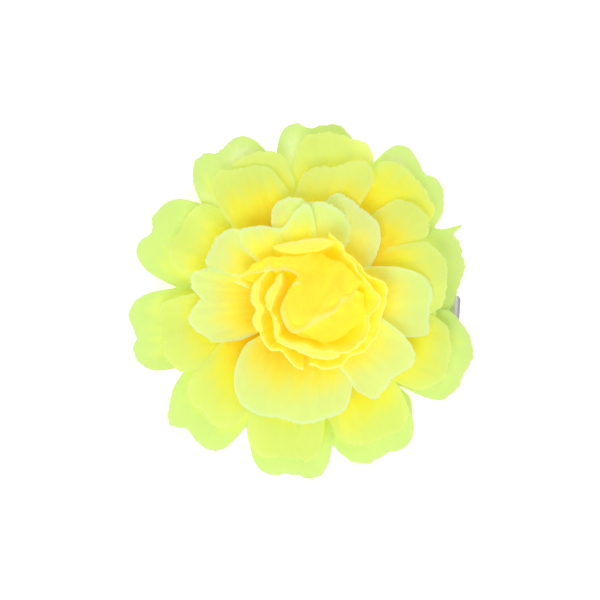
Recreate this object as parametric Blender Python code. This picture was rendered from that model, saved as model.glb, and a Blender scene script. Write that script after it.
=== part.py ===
"""Flower hair clip: a fabric peony threaded on a moulded peg, glued to a sprung, toothed steel clip.

Frame: +Z up, +X along the clip from its nose to its thumb levers, origin on the flower's axis at the
clip's flat underside. Lengths below are in millimetres and angles in degrees; MM turns them to metres.
"""

import math

import bmesh
import bpy
import numpy as np

MM = 0.001
GAP = 0.3  # air kept between two pieces that rest on each other

# Clip: two pressed steel arms on one rivet.
STEEL = 0.7
NOSE_X = -12.4
NOSE_Z = 2.0  # middle of the upper arm's sheet at its nose, which is bent down
NOSE_RUN = 3.4
LOWER_NOSE_Z = 0.95
LOWER_NOSE_RUN = 3.0
HINGE_X = 24.0
HINGE_Z = 3.0
TAIL_X = 48.4
SEAT_Z = 4.65  # middle of the upper arm's sheet where the flower is glued
SEAT_END = 16.5
BRIDGE_Z = 5.5  # middle of the same sheet where it passes over the spring
BRIDGE_START = 20.5
BRIDGE_END = 27.0
LEVER_X = 50.2
LEVER_Z = 10.5
LIP_RUN = 1.2  # the thumb lever's edge is turned down over this length, by LIP_DROP
LIP_DROP = 0.5
UPPER_BEND_R = 2.5
LOWER_BEND_R = 1.5
CORNER_R = 1.6
UPPER_HALF = 4.7
LOWER_HALF = 3.5
THUMB_HALF = 4.9
UPPER_WIDENING = (30.0, 44.0)  # where each arm grows from its own half width to the thumb's
LOWER_WIDENING = (29.0, 36.0)
FLANGE = 0.6
FLANGE_INSET = 0.2
FLANGE_START = 0.9  # from the nose
UPPER_FLANGE_END = 27.6
LOWER_FLANGE_END = 27.4
UPPER_FLANGE_NOSE_Z = 2.6
LOWER_FLANGE_NOSE_Z = 0.45
TEETH_END = 9.6
UPPER_TOOTH_ROOT = 1.7
LOWER_TOOTH_ROOT = 1.0
TOOTH_PITCH = 2.0
TOOTH_DEPTH = 0.8
EAR_START = 19.5  # the flange's edge turns from here towards the ear
UPPER_EAR_Z = 2.2
LOWER_EAR_Z = 1.4
UPPER_EAR_R = 2.3
LOWER_EAR_R = 1.8
PIN_R = 0.7
PIN_HOLE_R = 1.05
PIN_HEAD_R = 1.4
PIN_HEAD_T = 0.7
WIRE_R = 0.3
COIL_R = 1.45
COIL_TURNS = 4
COIL_HALF = 1.9
LEG_X = 38.0

# Flower: sheets of petals threaded on a peg.
FLOWER_TURN = 3.9  # the flower is glued a little askew on the clip
CLOTH = 0.5
ROOT_HALF = 2.4
WIDEST = 0.57  # radians; half the angle a petal spans, so neighbours in a sheet stay apart
PULL = 0.36  # how far the ends' rises reach into a petal's curve, as a share of its length
SHOULDER = 0.24  # share of its length that a petal loses at its outer corners
NOTCH = 0.05  # share of its length lost at the notch in the middle of its edge
NOTCH_WIDTH = 0.22
FULL_WIDTH_AT = 0.7
HOLE_R = 1.8
COLLAR_R = 5.0
PEG_R = 1.4
PLATE_R = 12.0
PLATE_T = 1.4
PLATE_EASE = 0.4
FELT_R = 16.0
FELT_T = 1.2
FELT_EASE = 0.2
GLUE_T = 0.5
GLUE_SLOPE = 0.3
CLIP_GLUE_HALF = (11.5, 3.8)
CLIP_GLUE_X = 3.0
FLOWER_GLUE_R = 10.0
SPACER_R = 4.2
SPACER_T = 1.0
SPACER_EASE = 0.25
CAP_R = 3.4
CAP_T = 2.6
CAP_WALL_T = 1.4
CAP_CROWN_R = 2.38
CAP_CROWN_T = 2.3
CAP_EASE = 0.5
PEG_IN_CAP = 1.56
LEAN = 0.2  # the soft petals lean towards +X by this share of their height above the first sheet
ROWS = 6
COLUMNS = 4

# Each sheet from the back of the flower to its heart: (name, rise at the root, rise at the tip, tip height,
# cupping, spacer under it, [(direction, reach, half width) of each petal]).
SHEETS = [
    ("skirt_petals_1", 7, -5, 13.6, 0.04, False,
     [(11, 54.5, 16), (83, 57, 16), (156, 56, 16), (228, 57, 16), (299, 57, 16)]),
    ("skirt_petals_2", 11, -5, 16.2, 0.04, False,
     [(46, 58, 16), (120, 56.5, 16), (192, 57, 16), (264, 57, 16), (337, 57, 16)]),
    ("skirt_petals_3", 15, -6, 18.6, 0.04, False,
     [(6, 44, 14), (77, 53.5, 14), (150, 46.5, 14), (228, 44, 14), (300, 51.5, 14)]),
    ("mid_petals_1", 17, -6, 20.8, 0.04, True,
     [(43, 48.5, 13), (110, 49, 13), (194, 47, 13), (262, 51, 13), (336, 50.5, 13)]),
    ("mid_petals_2", 21, -6, 22.8, 0.04, False,
     [(12, 46, 12), (77, 46, 12), (144, 46, 12), (224, 48, 12), (300, 40, 12)]),
    ("ruffle_petals_1", 26, -6, 25.4, 0.04, True,
     [(2, 40, 12), (60, 35, 12), (137, 33, 12), (203, 35, 12), (275, 38.5, 12)]),
    ("ruffle_petals_2", 36, 4, 29.0, 0.04, False,
     [(-37, 39, 12), (36, 26, 10), (97, 32, 10), (178, 33.5, 11.5), (241, 37.5, 12)]),
    ("cup_petals_1", 26, 84, 34.0, 0.02, True,
     [(20, 19, 11), (92, 19, 11), (164, 19, 11), (236, 19, 11), (308, 19, 11)]),
    ("cup_petals_2", 32, 86, 34.8, 0.02, False,
     [(56, 15.4, 9), (128, 15.4, 9), (200, 15.4, 9), (272, 15.4, 9), (344, 15.4, 9)]),
    ("heart_petals_1", 38, 88, 35.2, 0.02, True,
     [(20, 11.8, 7), (92, 11.8, 7), (164, 11.8, 7), (236, 11.8, 7), (308, 11.8, 7)]),
    ("heart_petals_2", 44, 92, 35.0, 0.02, False,
     [(56, 8.4, 5), (128, 8.4, 5), (200, 8.4, 5), (272, 8.4, 5), (344, 8.4, 5)]),
]


def material(name, colour, roughness, metallic=0.0):
    """A plain finish: colour, roughness and metal value on one Principled shader."""
    made = bpy.data.materials.new(name)
    made.use_nodes = True
    shader = made.node_tree.nodes["Principled BSDF"]
    shader.inputs["Base Color"].default_value = (*colour, 1.0)
    shader.inputs["Roughness"].default_value = roughness
    shader.inputs["Metallic"].default_value = metallic
    return made


def add_piece(name, mesh, finish, origin, parent=None):
    """Links a mesh, drawn in millimetres about the flower's frame, with its own origin and parent."""
    piece = bpy.data.objects.new(name, mesh)
    bpy.context.scene.collection.objects.link(piece)
    shift = np.array(origin, float)
    for vertex in mesh.vertices:
        vertex.co = [(a - b) * MM for a, b in zip(vertex.co, shift)]
    held = np.array(parent.location) if parent else np.zeros(3)
    piece.parent = parent
    piece.location = shift * MM - held
    if finish:
        mesh.materials.append(finish)
    mesh.shade_smooth()
    mesh.set_sharp_from_angle(angle=math.radians(35))
    return piece


def closed_mesh(name, points, faces):
    """A mesh with its doubled points merged and its faces turned outwards."""
    work = bmesh.new()
    corners = [work.verts.new(p) for p in points]
    for face in faces:
        work.faces.new([corners[i] for i in face])
    bmesh.ops.remove_doubles(work, verts=work.verts, dist=1e-4)
    bmesh.ops.recalc_face_normals(work, faces=work.faces)
    mesh = bpy.data.meshes.new(name)
    work.to_mesh(mesh)
    work.free()
    return mesh


def turned_mesh(name, profile, z, segments=32):
    """A solid of revolution about the flower's axis; profile is a closed loop of (radius, height above z)."""
    work = bmesh.new()
    points = [work.verts.new((r, 0, z + h)) for r, h in profile]
    pairs = zip(points, points[1:] + points[:1])
    edges = [work.edges.new(pair) for pair in pairs if pair[0].co.x + pair[1].co.x > 0]
    bmesh.ops.spin(
        work, geom=points + edges, cent=(0, 0, 0), axis=(0, 0, 1), angle=math.tau, steps=segments
    )
    bmesh.ops.remove_doubles(work, verts=work.verts, dist=1e-4)
    bmesh.ops.recalc_face_normals(work, faces=work.faces)
    mesh = bpy.data.meshes.new(name)
    work.to_mesh(mesh)
    work.free()
    return mesh


def plate_mesh(name, outline, place, low, high):
    """An outline extruded from low to high; place(u, v, w) puts a point of it in space."""
    work = bmesh.new()
    face = work.faces.new([work.verts.new(place(u, v, low)) for u, v in outline])
    grown = bmesh.ops.extrude_face_region(work, geom=[face])
    for item in grown["geom"]:
        if isinstance(item, bmesh.types.BMVert):
            item.co += item.co.__class__(place(0, 0, high)) - item.co.__class__(place(0, 0, low))
    bmesh.ops.recalc_face_normals(work, faces=work.faces)
    mesh = bpy.data.meshes.new(name)
    work.to_mesh(mesh)
    work.free()
    return mesh


def rounded_path(corners, radius, steps=4):
    """A polyline in the XZ plane with each inner corner swept round by a quadratic curve."""
    points = [np.array(corners[0], float)]
    for before, corner, after in zip(corners, corners[1:], corners[2:]):
        before, corner, after = (np.array(p, float) for p in (before, corner, after))
        reach = min(radius, np.linalg.norm(corner - before) / 2, np.linalg.norm(after - corner) / 2)
        start = corner + (before - corner) / np.linalg.norm(before - corner) * reach
        end = corner + (after - corner) / np.linalg.norm(after - corner) * reach
        for t in np.linspace(0, 1, steps + 1):
            points.append((1 - t) ** 2 * start + 2 * t * (1 - t) * corner + t * t * end)
    points.append(np.array(corners[-1], float))
    return np.array(points)


def end_stations(path, radius, steps=4):
    """The path with extra points near both ends, where the strip's corners are rounded."""
    sides = 1 - np.cos(np.linspace(0, math.pi / 2, steps + 1))
    extra_x = [path[0, 0] + radius * k for k in sides] + [path[-1, 0] - radius * k for k in sides]
    x = np.unique(np.round(np.concatenate([path[:, 0], extra_x]), 4))
    return np.column_stack([x, np.interp(x, path[:, 0], path[:, 1])])


def strip_mesh(name, path, half_width, corner, thickness):
    """A pressed strip: a side path given a thickness across it and a width in Y, with round corners."""
    path = end_stations(path, corner)
    slope = np.gradient(path, axis=0)
    slope /= np.linalg.norm(slope, axis=1)[:, None]
    normal = np.column_stack([-slope[:, 1], slope[:, 0]]) * thickness / 2
    near_end = np.minimum(path[:, 0] - path[0, 0], path[-1, 0] - path[:, 0])
    inside = np.clip(corner - near_end, 0, corner * 0.995)
    half = half_width(path[:, 0]) - corner + np.sqrt(corner**2 - inside**2)
    points = []
    for (x, z), (nx, nz), w in zip(path, normal, half):
        points += [(x + nx, -w, z + nz), (x + nx, w, z + nz), (x - nx, w, z - nz), (x - nx, -w, z - nz)]
    faces = [(0, 1, 2, 3), tuple(len(points) - 4 + k for k in range(4))]
    for i in range(0, len(points) - 4, 4):
        faces += [(i + k, i + (k + 1) % 4, i + 4 + (k + 1) % 4, i + 4 + k) for k in range(4)]
    return closed_mesh(name, points, faces)


def helper(name, mesh, origin, parent):
    """A cutter or a lug that only a Boolean uses."""
    piece = add_piece(name, mesh, None, origin, parent)
    piece.hide_render = True
    piece.display_type = "WIRE"
    return piece


def combine(piece, other, operation):
    """Adds an exact Boolean of piece with other."""
    step = piece.modifiers.new(other.name, "BOOLEAN")
    step.operation = operation
    step.solver = "EXACT"
    step.object = other


def pin_mesh(name, radius, half, head_r=0.0, head_t=0.0, segments=20):
    """A round pin along Y through the hinge, with a head at each end if head_r is given."""
    profile = [(radius, -half), (radius, half)]
    if head_r:
        head = [(head_r * 0.8, -half - head_t), (head_r, -half - head_t * 0.5), (head_r, -half)]
        profile = head + profile + [(r, -y) for r, y in reversed(head)]
    angles = [k * math.tau / segments for k in range(segments)]
    points = [
        (HINGE_X + r * math.cos(a), y, HINGE_Z + r * math.sin(a)) for r, y in profile for a in angles
    ]
    faces = [
        (row + k, row + (k + 1) % segments, row + segments + (k + 1) % segments, row + segments + k)
        for row in range(0, len(points) - segments, segments)
        for k in range(segments)
    ]
    faces += [tuple(range(segments)), tuple(range(len(points) - segments, len(points)))]
    return closed_mesh(name, points, faces)


def toothed_edge(start, end, root, tip):
    """Zigzag points from start to end, between root and tip height, one tooth to each pitch."""
    count = round(abs(end - start) / TOOTH_PITCH)
    step = (end - start) / count
    points = []
    for k in range(count):
        points += [(start + k * step, root), (start + (k + 0.5) * step, tip)]
    return points + [(end, root)]


def ear_arc(radius, start, end, steps=8):
    """Points of the round ear about the hinge, from one angle to another."""
    return [
        (HINGE_X + radius * math.cos(a), HINGE_Z + radius * math.sin(a))
        for a in np.radians(np.linspace(start, end, steps + 1))
    ]


def widening(narrow, wide, start, end):
    """A half width that grows smoothly from narrow to wide between two places along the clip."""
    def half_width(x):
        t = np.clip((x - start) / (end - start), 0, 1)
        return narrow + (wide - narrow) * t * t * (3 - 2 * t)
    return half_width


def side_place(u, v, w):
    """Puts an outline drawn in the XZ plane at Y = w."""
    return (u, w, v)


def flat_place(u, v, w):
    """Puts an outline drawn in the XY plane at Z = w."""
    return (u, v, w)


def make_arm(name, path, half_width, corner, outline, outer, finish, origin, parent):
    """One pressed arm: its strip, a flange with an ear on each side, and the rivet's hole."""
    arm = add_piece(name, strip_mesh(name, path, half_width, corner, STEEL), finish, origin, parent)
    for side, sign in (("left", 1), ("right", -1)):
        faces = sorted((sign * outer, sign * (outer - FLANGE)))
        mesh = plate_mesh(f"{name}_{side}_flange", outline, side_place, *faces)
        combine(arm, helper(f"{name}_{side}_flange", mesh, origin, parent), "UNION")
    cutter = pin_mesh(f"{name}_hole", PIN_HOLE_R, UPPER_HALF + 1)
    combine(arm, helper(f"{name}_hole", cutter, origin, parent), "DIFFERENCE")
    return arm


def make_upper_arm(finish, parent, origin):
    """The arm that carries the flower: nose bent down, flat seat, bridge over the spring, thumb lever."""
    bends = [(NOSE_X + NOSE_RUN, SEAT_Z), (SEAT_END, SEAT_Z), (BRIDGE_START, BRIDGE_Z)]
    lever = [(BRIDGE_END, BRIDGE_Z), (LEVER_X - LIP_RUN, LEVER_Z), (LEVER_X, LEVER_Z - LIP_DROP)]
    path = rounded_path([(NOSE_X, NOSE_Z)] + bends + lever, UPPER_BEND_R)
    first = NOSE_X + FLANGE_START
    top = [(UPPER_FLANGE_END, BRIDGE_Z)] + bends[::-1] + [(first, UPPER_FLANGE_NOSE_Z)]
    teeth = toothed_edge(first, TEETH_END, UPPER_TOOTH_ROOT, UPPER_TOOTH_ROOT - TOOTH_DEPTH)
    outline = top + teeth + [(EAR_START, UPPER_EAR_Z)] + ear_arc(UPPER_EAR_R, 200, 350)
    half_width = widening(UPPER_HALF, THUMB_HALF, *UPPER_WIDENING)
    return make_arm("clip_upper_arm", path, half_width, CORNER_R, outline, UPPER_HALF - FLANGE_INSET,
                    finish, origin, parent)


def make_lower_arm(finish, parent, origin):
    """The arm that slides under the hair: flat from nose to tail, with teeth along both sides."""
    middle = STEEL / 2
    path = rounded_path(
        [(NOSE_X, LOWER_NOSE_Z), (NOSE_X + LOWER_NOSE_RUN, middle), (TAIL_X, middle)], LOWER_BEND_R)
    first = NOSE_X + FLANGE_START
    bottom = [(first, LOWER_FLANGE_NOSE_Z), (LOWER_FLANGE_END, middle)]
    teeth = toothed_edge(TEETH_END, first, LOWER_TOOTH_ROOT, LOWER_TOOTH_ROOT + TOOTH_DEPTH)
    outline = bottom + ear_arc(LOWER_EAR_R, -10, 160) + [(EAR_START, LOWER_EAR_Z)] + teeth
    half_width = widening(LOWER_HALF, THUMB_HALF, *LOWER_WIDENING)
    return make_arm("clip_lower_arm", path, half_width, CORNER_R, outline, LOWER_HALF - FLANGE_INSET,
                    finish, origin, parent)


def swept_mesh(name, route, radius, sides=6):
    """A round wire along a route, its section carried along without twisting."""
    route = np.array(route, float)
    ahead = np.gradient(route, axis=0)
    ahead /= np.linalg.norm(ahead, axis=1)[:, None]
    across = np.array([0.0, 1.0, 0.0])
    angles = np.linspace(0, math.tau, sides, endpoint=False)
    points = []
    for middle, way in zip(route, ahead):
        across = across - way * np.dot(across, way)
        across /= np.linalg.norm(across)
        up = np.cross(way, across)
        points += [tuple(middle + radius * (math.cos(a) * across + math.sin(a) * up)) for a in angles]
    faces = [
        (row + k, row + (k + 1) % sides, row + sides + (k + 1) % sides, row + sides + k)
        for row in range(0, len(points) - sides, sides)
        for k in range(sides)
    ]
    faces += [tuple(range(sides)), tuple(range(len(points) - sides, len(points)))]
    return closed_mesh(name, points, faces)


def make_spring(finish, parent):
    """Torsion spring: a coil about the rivet whose crossed legs press the two thumb levers apart."""
    lever_slope = (LEVER_Z - BRIDGE_Z) / (LEVER_X - LIP_RUN - BRIDGE_END)
    clear = STEEL / 2 + GAP + WIRE_R
    upper_z = BRIDGE_Z + lever_slope * (LEG_X - BRIDGE_END) - clear * math.hypot(1, lever_slope)
    lower_z = STEEL + GAP + WIRE_R
    reach = LEG_X - HINGE_X
    tangent = COIL_R / reach
    upper_rise = math.atan2(upper_z - HINGE_Z, reach) + tangent
    lower_rise = math.atan2(lower_z - HINGE_Z, reach) - tangent
    start = upper_rise - math.pi / 2
    end = lower_rise + math.pi / 2 - (COIL_TURNS + 1) * math.tau
    share = np.linspace(0, 1, 14 * COIL_TURNS + 9)
    angle = start + share * (end - start)
    coil = np.column_stack([
        HINGE_X + COIL_R * np.cos(angle),
        COIL_HALF * (1 - 2 * share),
        HINGE_Z + COIL_R * np.sin(angle),
    ])
    route = np.vstack([(LEG_X, COIL_HALF, upper_z), coil, (LEG_X, -COIL_HALF, lower_z)])
    mesh = swept_mesh("torsion_spring", route, WIRE_R)
    add_piece("torsion_spring", mesh, finish, (HINGE_X, 0, HINGE_Z), parent)


def petal_centre_line(root, tip, root_rise, tip_rise, s):
    """Radius, height and rise along a petal: a cubic curve with its rise set at both ends."""
    a, b = math.radians(root_rise), math.radians(tip_rise)
    root, tip = np.array(root, float), np.array(tip, float)
    pull = np.linalg.norm(tip - root) * PULL
    controls = [root, root + pull * np.array([math.cos(a), math.sin(a)]),
                tip - pull * np.array([math.cos(b), math.sin(b)]), tip]
    s = s[:, None]
    weights = [(1 - s) ** 3, 3 * s * (1 - s) ** 2, 3 * s * s * (1 - s), s**3]
    line = sum(w * c for w, c in zip(weights, controls))
    steps = [c1 - c0 for c0, c1 in zip(controls, controls[1:])]
    slope = (1 - s) ** 2 * steps[0] + 2 * s * (1 - s) * steps[1] + s * s * steps[2]
    return line, slope / np.linalg.norm(slope, axis=1)[:, None]


def petal_grid(sheet_z, values, petal):
    """Points of one petal, a two-lobed fan wrapped round the flower's axis, root row first."""
    root_rise, tip_rise, tip_z, cupping = values
    direction, reach, half = petal
    turn = math.radians(direction + FLOWER_TURN)
    grid = np.zeros((ROWS + 1, COLUMNS + 1, 3))
    for column, across in enumerate(np.linspace(-1, 1, COLUMNS + 1)):
        end = 1 - SHOULDER * abs(across) ** 3 - NOTCH * math.exp(-((across / NOTCH_WIDTH) ** 2))
        s = np.linspace(0, end, ROWS + 1)
        line, slope = petal_centre_line((COLLAR_R, sheet_z), (reach, tip_z), root_rise, tip_rise, s)
        grown = np.sin(np.minimum(s / FULL_WIDTH_AT, 1) * math.pi / 2)
        width = ROOT_HALF + (half - ROOT_HALF) * grown
        angle = turn + across * np.minimum(width / line[:, 0], WIDEST)
        lift = cupping * width * across**2 * s
        radius = line[:, 0] - slope[:, 1] * lift
        height = line[:, 1] + slope[:, 0] * lift
        lean = LEAN * (height - sheet_z)
        grid[:, column] = np.column_stack([
            radius * np.cos(angle) + lean, radius * np.sin(angle), height
        ])
    return grid


def sheet_mesh(name, sheet_z, values, petals):
    """One die-cut sheet of cloth: its petals, side by side, and the pierced collar that joins them."""
    points, faces = [], []
    share = 360 / len(petals)
    first_turn = np.mean([petal[0] - share * k for k, petal in enumerate(petals)]) + FLOWER_TURN
    wide = COLUMNS + 1
    for number, petal in enumerate(petals):
        grid = petal_grid(sheet_z, values, petal)
        around = np.radians(first_turn + share * (number + np.linspace(-0.5, 0.5, wide)))
        ring = np.column_stack([np.cos(around), np.sin(around), np.zeros(wide)])
        level = np.array([0, 0, sheet_z])
        grid[0] = ring * COLLAR_R + level
        rows = np.vstack([[ring * HOLE_R + level], grid])
        first = len(points)
        points += [tuple(p) for p in rows.reshape(-1, 3)]
        faces += [
            (first + r * wide + c, first + r * wide + c + 1,
             first + (r + 1) * wide + c + 1, first + (r + 1) * wide + c)
            for r in range(ROWS + 1)
            for c in range(COLUMNS)
        ]
    return closed_mesh(name, points, faces)


def make_sheet(name, sheet_z, values, petals, finish, parent):
    """A petal sheet as a closed solid of the cloth's thickness."""
    piece = add_piece(name, sheet_mesh(name, sheet_z, values, petals), finish, (0, 0, sheet_z), parent)
    cloth = piece.modifiers.new("cloth", "SOLIDIFY")
    cloth.thickness = CLOTH * MM
    cloth.offset = 0


def ring_profile(inner, outer, thickness, ease):
    """A flat ring's section with its outer edge eased."""
    return [(inner, 0), (outer - ease, 0), (outer, ease), (outer, thickness - ease),
            (outer - ease, thickness), (inner, thickness)]


def make_flower(first_z, colours, parent):
    """The back plate with its peg, the sheets and spacers threaded on it, and the cap that holds them."""
    plate_z = first_z
    z = plate_z + PLATE_T + GAP
    spacer = 0
    for name, root_rise, tip_rise, tip_z, cupping, spaced, petals in SHEETS:
        if spaced:
            spacer += 1
            mesh = turned_mesh("spacer", ring_profile(HOLE_R, SPACER_R, SPACER_T, SPACER_EASE), z, 24)
            add_piece(f"spacer_ring_{spacer}", mesh, colours["plastic"], (0, 0, z), parent)
            z += SPACER_T + GAP
        tone = colours["heart"] if name.startswith(("cup", "heart")) else colours["petal"]
        values = (root_rise, tip_rise, tip_z, cupping)
        make_sheet(name, z + CLOTH / 2, values, petals, tone, parent)
        z += CLOTH + GAP
    peg_top = z + PEG_IN_CAP
    height = peg_top - plate_z
    plate = [(0, 0), (PLATE_R - PLATE_EASE, 0), (PLATE_R, PLATE_EASE), (PLATE_R, PLATE_T - PLATE_EASE),
             (PLATE_R - PLATE_EASE, PLATE_T), (PEG_R, PLATE_T), (PEG_R, height - PLATE_EASE),
             (PEG_R - PLATE_EASE, height), (0, height)]
    mesh = turned_mesh("petal_peg", plate, plate_z)
    add_piece("petal_peg", mesh, colours["plastic"], (0, 0, plate_z), parent)
    bore = PEG_R + GAP
    ceiling = peg_top + GAP - z
    cap = [(bore, 0), (CAP_R - CAP_EASE, 0), (CAP_R, CAP_EASE), (CAP_R, CAP_WALL_T),
           (CAP_CROWN_R, CAP_CROWN_T), (0, CAP_T), (0, ceiling), (bore, ceiling)]
    mesh = turned_mesh("peg_cap", cap, z, 24)
    add_piece("peg_cap", mesh, colours["plastic"], (0, 0, z), parent)


def slot_outline(half_length, half_width, middle, steps=6):
    """A rounded oblong in the XY plane about a point of the X axis."""
    run = half_length - half_width
    right = [(middle + run + half_width * math.cos(a), half_width * math.sin(a))
             for a in np.linspace(-math.pi / 2, math.pi / 2, steps + 1)]
    left = [(middle - run + half_width * math.cos(a), half_width * math.sin(a))
            for a in np.linspace(math.pi / 2, 3 * math.pi / 2, steps + 1)]
    return right + left


def make_mounting(colours, parent):
    """The glue and felt between the clip's seat and the flower's plate; returns the plate's height."""
    z = SEAT_Z + STEEL / 2 + GAP
    pad = plate_mesh("clip_glue", slot_outline(*CLIP_GLUE_HALF, CLIP_GLUE_X), flat_place, z, z + GLUE_T)
    add_piece("clip_glue", pad, colours["glue"], (0, 0, z), parent)
    z += GLUE_T + GAP
    felt = turned_mesh("felt_backing", ring_profile(0, FELT_R, FELT_T, FELT_EASE), z, 40)
    add_piece("felt_backing", felt, colours["felt"], (0, 0, z), parent)
    z += FELT_T + GAP
    drop = [(0, 0), (FLOWER_GLUE_R, 0), (FLOWER_GLUE_R - GLUE_SLOPE, GLUE_T), (0, GLUE_T)]
    glue = turned_mesh("flower_glue", drop, z)
    add_piece("flower_glue", glue, colours["glue"], (0, 0, z), parent)
    return z + GLUE_T + GAP


def main():
    for obj in list(bpy.data.objects):
        bpy.data.objects.remove(obj)
    colours = {
        "petal": material("neon_yellow_cloth", (0.80, 0.93, 0.16), 0.85),
        "heart": material("neon_heart_cloth", (0.98, 0.84, 0.08), 0.85),
        "plastic": material("yellow_moulded_plastic", (0.90, 0.85, 0.25), 0.45),
        "felt": material("yellow_felt", (0.86, 0.86, 0.20), 0.95),
        "glue": material("hot_melt_glue", (0.88, 0.86, 0.74), 0.35),
        "steel": material("plated_steel", (0.62, 0.62, 0.63), 0.3, 1.0),
    }
    hinge = (HINGE_X, 0, HINGE_Z)
    swing = bpy.data.objects.new("hinge_axis", None)
    swing.location = [value * MM for value in hinge]
    bpy.context.scene.collection.objects.link(swing)
    make_lower_arm(colours["steel"], None, (0, 0, 0))
    make_upper_arm(colours["steel"], swing, hinge)
    rivet = pin_mesh("hinge_rivet", PIN_R, UPPER_HALF - FLANGE_INSET + GAP, PIN_HEAD_R, PIN_HEAD_T)
    add_piece("hinge_rivet", rivet, colours["steel"], hinge, swing)
    make_spring(colours["steel"], swing)
    make_flower(make_mounting(colours, swing), colours, swing)


main()
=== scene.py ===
"""Looks of a neon yellow fabric peony glued to a sprung steel hair clip.

Each petal sheet is one piece of thin cloth: a collar threaded on the flower's peg and five petals that
fan out of it. Lengths are in millimetres and angles in degrees until a mesh is made; MM turns them into
metres. The cloths, finishes and pieces come first, the studio last, and the calls stand at the end.
"""

import math

import bmesh
import bpy
import numpy as np
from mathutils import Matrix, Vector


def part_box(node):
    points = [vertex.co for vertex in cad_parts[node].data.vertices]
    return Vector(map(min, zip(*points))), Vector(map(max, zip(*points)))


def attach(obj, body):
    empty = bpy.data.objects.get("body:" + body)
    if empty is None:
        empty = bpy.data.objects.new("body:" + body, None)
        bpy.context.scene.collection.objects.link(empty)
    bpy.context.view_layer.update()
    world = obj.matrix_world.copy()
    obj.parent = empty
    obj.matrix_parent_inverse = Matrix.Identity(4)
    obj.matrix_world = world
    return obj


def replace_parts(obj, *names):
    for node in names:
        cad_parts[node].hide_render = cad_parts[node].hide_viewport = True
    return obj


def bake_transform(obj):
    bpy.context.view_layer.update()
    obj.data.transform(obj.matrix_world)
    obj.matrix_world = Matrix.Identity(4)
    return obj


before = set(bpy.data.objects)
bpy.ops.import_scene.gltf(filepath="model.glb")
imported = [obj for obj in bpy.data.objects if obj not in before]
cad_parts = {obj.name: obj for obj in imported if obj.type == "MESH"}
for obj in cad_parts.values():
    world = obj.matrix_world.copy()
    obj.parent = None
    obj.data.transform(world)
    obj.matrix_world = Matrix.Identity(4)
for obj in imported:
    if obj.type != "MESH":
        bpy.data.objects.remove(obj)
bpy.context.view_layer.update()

MM = 0.001
CM = 10.0  # the thread maps are in centimetres

# Petals
TURN = 3.9  # the flower sits this much askew on the clip
COLLAR_R = 5.0
COLLAR_LAP = 0.3  # how far the collar reaches under its petals
HOLE_R = 1.8
FAN_HALF = 36  # at the collar, each of five petals spans this much to both sides
CLOTH_HALF = 0.25  # half the thickness of a sheet's plain solid
THREAD = 0.042  # from one thread of the weave to the next, in centimetres
CUP_MIDDLE = np.array([4.6, -0.3])  # middle of the cup of inner petals, seen from above
CUP_LAYER = 0.08  # one petal of the cup or the heart over the next at the collar
ACROSS = 80  # steps of a petal's grid from side to side
ALONG = 40  # steps from the collar to the tip
ROW_SPREAD = 0.85  # below 1, the grid's rows stand closer together towards the tip
FOLD_ROWS = 25
ROLL_ROWS = 7
SPIKE_WIDTH = 0.05
SPARED = 40  # keeps the painted rim highlight off a fanned petal's sides near the collar
FOLD_SPARED = 30  # the same for an upright petal

# Spring and hinge
HINGE = (24.0, 0.0, 3.0)
BRIDGE_X = 27.0  # where the upper arm starts to rise towards its thumb lever
BRIDGE_Z = 5.5
LEVER_X = 49.0
LEVER_Z = 10.5
WIRE_R = 0.3
WIRE_REST = 0.95  # from the middle of a lever's steel to the middle of the wire that presses on it
WIRE_Z = 1.3
LEG_X = 38.0
COIL_R = 1.45
COIL_TURNS = 4
COIL_HALF = 1.9

# Pads and edges
FELT_R = 15.9
PAD_SHARE = 0.92  # of the plain solid's thickness
STEEL_EASE = 0.12
RIVET_EASE = 0.1
MOULD_EASE = 0.15
RING_EASE = 0.1

# Studio: places and sizes in metres, the lens and its sensor in millimetres
CAMERA_HEIGHT = 0.715
CAMERA_ASIDE = -0.00095
LENS = 132.1
SENSOR = 36.0
TABLE_HALF = 3.0
TABLE_GLOW = 0.6
SKY = 0.46
LAMPS = (  # name, place, size, power
    ("key_lamp", (-0.2, -0.7, 1.2), 0.8, 8.8),
    ("fill_lamp", (0.4, 0.6, 1.2), 1.0, 3.6),
)


# ---------------------------------------------------------------- shader maths

class Line:
    """A shader value that ordinary arithmetic works on."""

    def __init__(self, finish, socket):
        self.finish = finish
        self.socket = socket

    def __add__(self, other):
        return self.finish.maths("ADD", self, other)

    def __sub__(self, other):
        return self.finish.maths("SUBTRACT", self, other)

    def __rsub__(self, other):
        return self.finish.maths("SUBTRACT", other, self)

    def __mul__(self, other):
        return self.finish.maths("MULTIPLY", self, other)

    __radd__ = __add__
    __rmul__ = __mul__


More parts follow.
